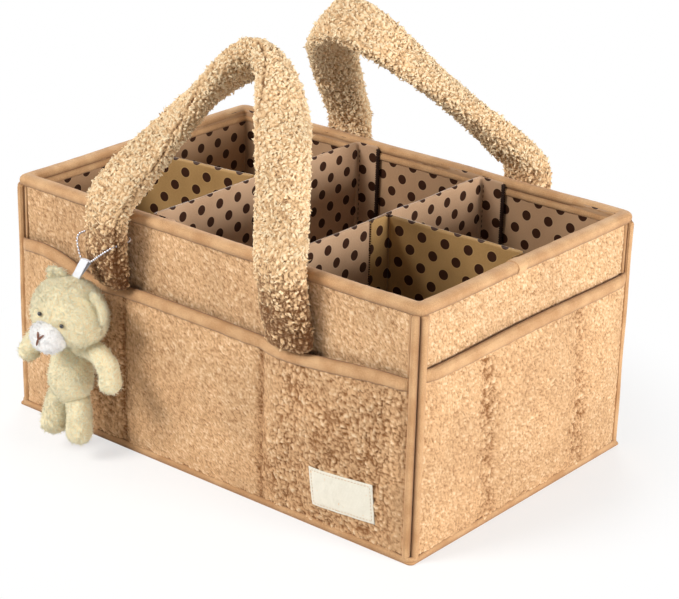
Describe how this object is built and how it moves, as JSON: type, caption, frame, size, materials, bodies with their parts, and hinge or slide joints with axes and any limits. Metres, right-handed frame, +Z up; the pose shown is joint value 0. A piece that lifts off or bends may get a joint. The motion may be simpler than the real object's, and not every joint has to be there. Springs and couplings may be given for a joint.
{
  "type": "diaper caddy",
  "caption": "Soft rectangular nursery caddy with plush walls, outside pockets, swinging padded handles, inner dividers and a hanging plush bear.",
  "frame": {"origin": "centre of the underside of the base", "axes": "+Z up, +X along the length towards the right end as seen from the front, -Y towards the front with the bear"},
  "size_m": [0.4008, 0.3466, 0.3194],
  "materials": {
    "plush": "matte curly pile",
    "handle_plush": "matte curly pile",
    "tape": "matte velour",
    "satin": "dotted satin",
    "board": "plain",
    "foam": "soft filling",
    "label": "woven satin",
    "bear_plush": "short pile",
    "muzzle_plush": "short pile",
    "eye": "polished",
    "chain": "bright"
  },
  "bodies": {
    "caddy": {"front_board": "board", "back_board": "board", "left_board": "board", "right_board": "board", "base_board": "board", "front_panel": "plush", "back_panel": "plush", "left_panel": "plush", "right_panel": "plush", "base_cover": "plush", "wall_lining": "satin", "floor_lining": "satin", "rim_binding": "tape", "bottom_binding": "tape", "front_right_corner_binding": "tape", "front_left_corner_binding": "tape", "back_left_corner_binding": "tape", "back_right_corner_binding": "tape", "front_pocket": "plush", "front_pocket_binding": "tape", "back_pocket": "plush", "back_pocket_binding": "tape", "right_pocket": "plush", "right_pocket_binding": "tape", "left_pocket": "plush", "left_pocket_binding": "tape", "sewn_label": "label", "front_handle_left_end": "handle_plush", "front_handle_right_end": "handle_plush", "back_handle_left_end": "handle_plush", "back_handle_right_end": "handle_plush", "left_cross_divider": "satin", "left_cross_divider_board": "board", "right_cross_divider": "satin", "right_cross_divider_board": "board", "left_divider_tab": "satin", "right_divider_tab": "satin", "ball_chain": "chain"},
    "front_handle": {"front_handle": "handle_plush", "front_handle_core": "foam"},
    "back_handle": {"back_handle": "handle_plush", "back_handle_core": "foam"},
    "left_divider": {"left_divider": "satin", "left_divider_board": "board"},
    "right_divider": {"right_divider": "satin", "right_divider_board": "board"},
    "bear": {"hang_tag": "label", "bear_head": "bear_plush", "bear_body": "bear_plush", "bear_left_arm": "bear_plush", "bear_right_arm": "bear_plush", "bear_left_leg": "bear_plush", "bear_right_leg": "bear_plush", "bear_left_ear": "bear_plush", "bear_right_ear": "bear_plush", "bear_muzzle": "muzzle_plush", "bear_left_eye": "eye", "bear_right_eye": "eye"}
  },
  "joints": [
    {"name": "front_handle_swing", "type": "hinge", "parent": "caddy", "child": "front_handle", "pos_m": [0, -0.1389, 0.197], "axis": [1, 0, 0], "range_deg": [-38, 130]},
    {"name": "back_handle_swing", "type": "hinge", "parent": "caddy", "child": "back_handle", "pos_m": [0, 0.1389, 0.197], "axis": [1, 0, 0], "range_deg": [-128, 40]},
    {"name": "left_divider_swing", "type": "hinge", "parent": "caddy", "child": "left_divider", "pos_m": [-0.06513, -0.003, 0.096], "axis": [0, 0, 1], "range_deg": [-82, 70]},
    {"name": "right_divider_swing", "type": "hinge", "parent": "caddy", "child": "right_divider", "pos_m": [0.06513, 0, 0.096], "axis": [0, 0, 1], "range_deg": [-75, 72]},
    {"name": "bear_swing", "type": "hinge", "parent": "caddy", "child": "bear", "pos_m": [-0.091, -0.1525, 0.152], "axis": [1, 0, 0], "range_deg": [-60, 0]}
  ]
}
